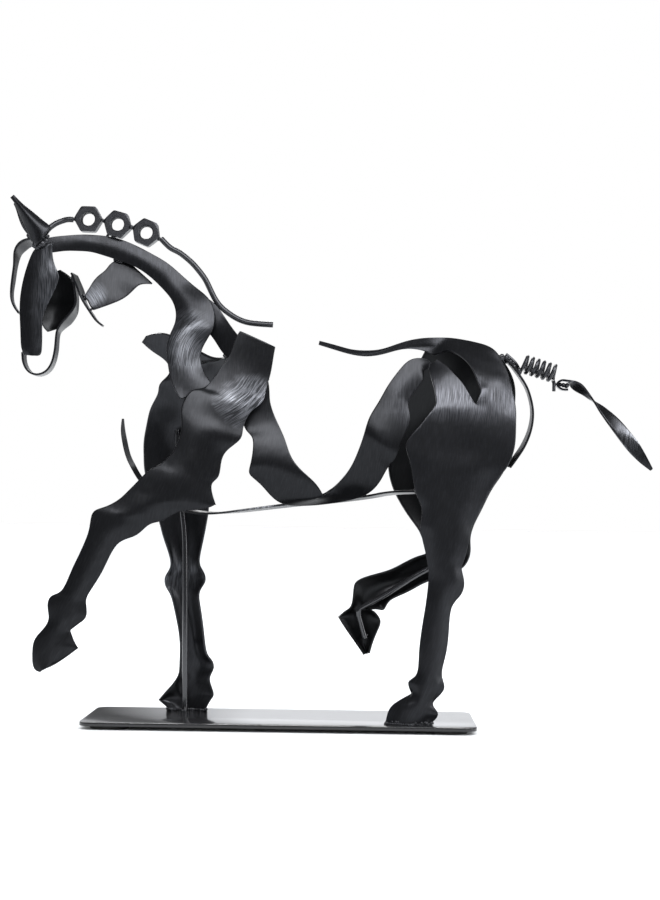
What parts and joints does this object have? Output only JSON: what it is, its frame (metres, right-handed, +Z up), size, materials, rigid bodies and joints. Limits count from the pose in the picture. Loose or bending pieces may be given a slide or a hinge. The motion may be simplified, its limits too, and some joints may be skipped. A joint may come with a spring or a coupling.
{
  "type": "metal horse statue",
  "caption": "Trotting horse statue welded up from black steel sheet, strip, wire, nuts and a spring tail, standing on a flat plate with rubber feet.",
  "frame": {"origin": "middle of the underside of the statue's box, on the surface the rubber feet stand on", "axes": "+X towards the tail, +Z up, -Y towards the viewer of the horse's left side"},
  "size_m": [0.2586, 0.06, 0.2093],
  "materials": {
    "blackened_steel": "black lacquer over ground steel, satin, with the grinder's strokes showing",
    "plate_paint": "smooth satin black paint",
    "rubber": "matt black"
  },
  "bodies": {
    "root": {"base_plate": "plate_paint", "foot_front_left": "rubber", "foot_front_right": "rubber", "foot_back_left": "rubber", "foot_back_right": "rubber", "near_foreleg": "blackened_steel", "far_foreleg": "blackened_steel", "near_haunch": "blackened_steel", "far_haunch": "blackened_steel", "flank_ribbon": "blackened_steel", "neck": "blackened_steel", "withers_strap": "blackened_steel", "throat_strap": "blackened_steel", "throat_bar": "blackened_steel", "mane_wire_front": "blackened_steel", "mane_wire_rear": "blackened_steel", "mane_nut_1": "blackened_steel", "mane_nut_2": "blackened_steel", "mane_nut_3": "blackened_steel", "profile_strip": "blackened_steel", "face_plate": "blackened_steel", "cheek_plate": "blackened_steel", "chin_strip": "blackened_steel", "near_ear": "blackened_steel", "far_ear": "blackened_steel", "belly_strip": "blackened_steel", "tail_loop": "blackened_steel", "tail_spring": "blackened_steel", "tail_ribbon": "blackened_steel", "support_rod": "blackened_steel", "hind_leg_rod": "blackened_steel"}
  },
  "joints": []
}
